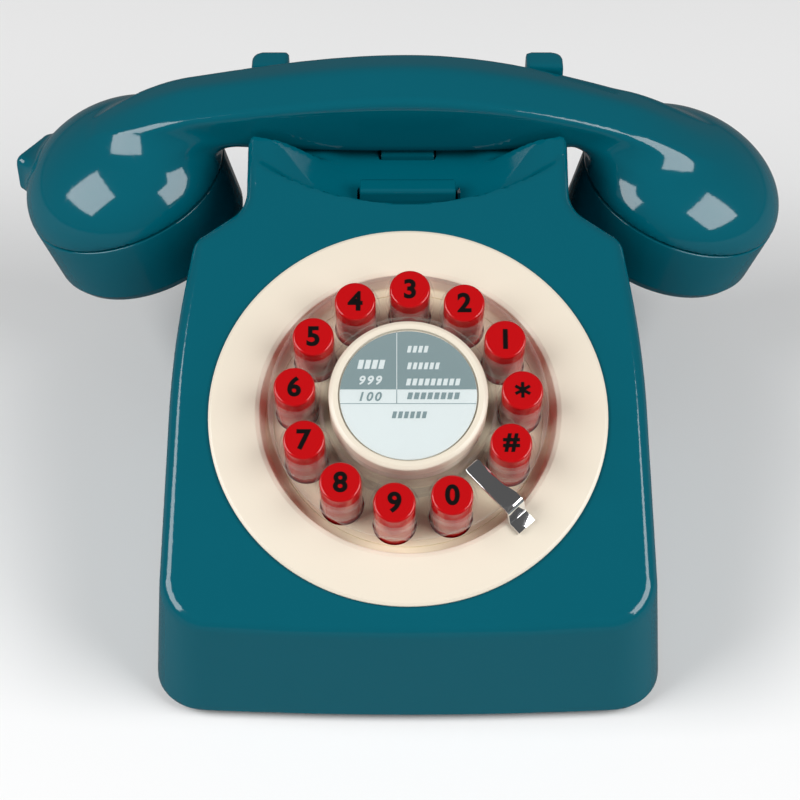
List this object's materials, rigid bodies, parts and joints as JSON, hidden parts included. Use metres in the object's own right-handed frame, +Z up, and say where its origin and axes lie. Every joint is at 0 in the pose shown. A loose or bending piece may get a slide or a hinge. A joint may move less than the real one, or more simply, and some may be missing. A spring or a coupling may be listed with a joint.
{
  "type": "desk telephone",
  "caption": "Sloping-face desk telephone with push keys set in a dial ring, a centre redial button, sprung hook plunger, side-to-side knobs and a lift-off handset.",
  "frame": {"origin": "centre of the whole object's footprint, on the surface it stands on", "axes": "+X to the user's right along the handset, +Y to the back of the phone, +Z up"},
  "size_m": [0.2398, 0.186, 0.1138],
  "materials": {
    "shell_teal": "moulded, high gloss",
    "dark_plastic": "fine moulded grain",
    "foot_rubber": "matt",
    "screw_steel": "zinc plated",
    "dial_cream": "moulded, semi gloss",
    "wheel_clear": "clear acrylic, polished",
    "stop_chrome": "polished",
    "key_red": "moulded, gloss, printed character",
    "label_paper": "printed card under a lens",
    "board_green": "solder mask",
    "capsule_metal": "drawn can",
    "bracket_steel": "zinc plated sheet",
    "ballast_iron": "as cast",
    "coil_copper": "varnished winding",
    "gong_brass": "spun, polished"
  },
  "bodies": {
    "base": {"case": "shell_teal", "base_plate": "dark_plastic", "foot_1": "foot_rubber", "foot_2": "foot_rubber", "foot_3": "foot_rubber", "foot_4": "foot_rubber", "base_screw_1": "screw_steel", "base_screw_2": "screw_steel", "base_screw_3": "screw_steel", "base_screw_4": "screw_steel", "dial_bezel": "dial_cream", "dial_wheel": "wheel_clear", "finger_stop": "stop_chrome", "keypad_mat": "foot_rubber", "keypad_board": "board_green", "board_screw_1": "screw_steel", "board_screw_2": "screw_steel", "board_screw_3": "screw_steel", "hook_switch": "dark_plastic", "switch_bracket": "bracket_steel", "main_board": "board_green", "ballast_weight": "ballast_iron", "ringer_frame": "bracket_steel", "ringer_coil": "coil_copper", "gong_post_left": "bracket_steel", "gong_left": "gong_brass", "gong_post_right": "bracket_steel", "gong_right": "gong_brass", "cord_socket": "dark_plastic", "line_socket": "dark_plastic"},
    "handset": {"handset_shell": "shell_teal", "mouthpiece_cap": "shell_teal", "earpiece_cap": "shell_teal", "microphone_capsule": "capsule_metal", "receiver_capsule": "dark_plastic", "handset_socket": "dark_plastic"},
    "plunger": {"hook_plunger": "shell_teal"},
    "button_hash": {"key_hash": "key_red"},
    "button_star": {"key_star": "key_red"},
    "button_1": {"key_1": "key_red"},
    "button_2": {"key_2": "key_red"},
    "button_3": {"key_3": "key_red"},
    "button_4": {"key_4": "key_red"},
    "button_5": {"key_5": "key_red"},
    "button_6": {"key_6": "key_red"},
    "button_7": {"key_7": "key_red"},
    "button_8": {"key_8": "key_red"},
    "button_9": {"key_9": "key_red"},
    "button_0": {"key_0": "key_red"},
    "redial": {"redial_cap": "dial_cream", "redial_label": "label_paper", "redial_lens": "wheel_clear"},
    "ringer_clapper": {"clapper": "gong_brass"},
    "volume_slider": {"volume_knob": "dial_cream"},
    "tone_slider": {"tone_knob": "dial_cream"}
  },
  "joints": [
    {"name": "handset_lift", "type": "slide", "parent": "base", "child": "handset", "axis": [0, 0, 1], "range_m": [0, 0.12]},
    {"name": "hook_travel", "type": "slide", "parent": "base", "child": "plunger", "axis": [0, 0, 1], "range_m": [0, 0.004]},
    {"name": "press_hash", "type": "slide", "parent": "base", "child": "button_hash", "axis": [0, 0.4067, -0.9135], "range_m": [0, 0.002], "stiffness_N_per_m": 200, "springref_m": -0.001},
    {"name": "press_star", "type": "slide", "parent": "base", "child": "button_star", "axis": [0, 0.4067, -0.9135], "range_m": [0, 0.002], "stiffness_N_per_m": 200, "springref_m": -0.001},
    {"name": "press_1", "type": "slide", "parent": "base", "child": "button_1", "axis": [0, 0.4067, -0.9135], "range_m": [0, 0.002], "stiffness_N_per_m": 200, "springref_m": -0.001},
    {"name": "press_2", "type": "slide", "parent": "base", "child": "button_2", "axis": [0, 0.4067, -0.9135], "range_m": [0, 0.002], "stiffness_N_per_m": 200, "springref_m": -0.001},
    {"name": "press_3", "type": "slide", "parent": "base", "child": "button_3", "axis": [0, 0.4067, -0.9135], "range_m": [0, 0.002], "stiffness_N_per_m": 200, "springref_m": -0.001},
    {"name": "press_4", "type": "slide", "parent": "base", "child": "button_4", "axis": [0, 0.4067, -0.9135], "range_m": [0, 0.002], "stiffness_N_per_m": 200, "springref_m": -0.001},
    {"name": "press_5", "type": "slide", "parent": "base", "child": "button_5", "axis": [0, 0.4067, -0.9135], "range_m": [0, 0.002], "stiffness_N_per_m": 200, "springref_m": -0.001},
    {"name": "press_6", "type": "slide", "parent": "base", "child": "button_6", "axis": [0, 0.4067, -0.9135], "range_m": [0, 0.002], "stiffness_N_per_m": 200, "springref_m": -0.001},
    {"name": "press_7", "type": "slide", "parent": "base", "child": "button_7", "axis": [0, 0.4067, -0.9135], "range_m": [0, 0.002], "stiffness_N_per_m": 200, "springref_m": -0.001},
    {"name": "press_8", "type": "slide", "parent": "base", "child": "button_8", "axis": [0, 0.4067, -0.9135], "range_m": [0, 0.002], "stiffness_N_per_m": 200, "springref_m": -0.001},
    {"name": "press_9", "type": "slide", "parent": "base", "child": "button_9", "axis": [0, 0.4067, -0.9135], "range_m": [0, 0.002], "stiffness_N_per_m": 200, "springref_m": -0.001},
    {"name": "press_0", "type": "slide", "parent": "base", "child": "button_0", "axis": [0, 0.4067, -0.9135], "range_m": [0, 0.002], "stiffness_N_per_m": 200, "springref_m": -0.001},
    {"name": "press_redial", "type": "slide", "parent": "base", "child": "redial", "axis": [0, 0.4067, -0.9135], "range_m": [0, 0.0015], "stiffness_N_per_m": 300, "springref_m": -0.001},
    {"name": "clapper_swing", "type": "hinge", "parent": "base", "child": "ringer_clapper", "pos_m": [0.0033, -0.0027, 0.012], "axis": [0, 0, 1], "range_deg": [-5, 5], "stiffness_Nm_per_rad": 0.0005},
    {"name": "volume_slide", "type": "slide", "parent": "base", "child": "volume_slider", "axis": [1, 0, 0], "range_m": [-0.003, 0.003]},
    {"name": "tone_slide", "type": "slide", "parent": "base", "child": "tone_slider", "axis": [1, 0, 0], "range_m": [-0.003, 0.003]}
  ],
  "couplings": [
    {"joint": "hook_travel", "follows": "handset_lift", "ratio": 0.033333}
  ]
}
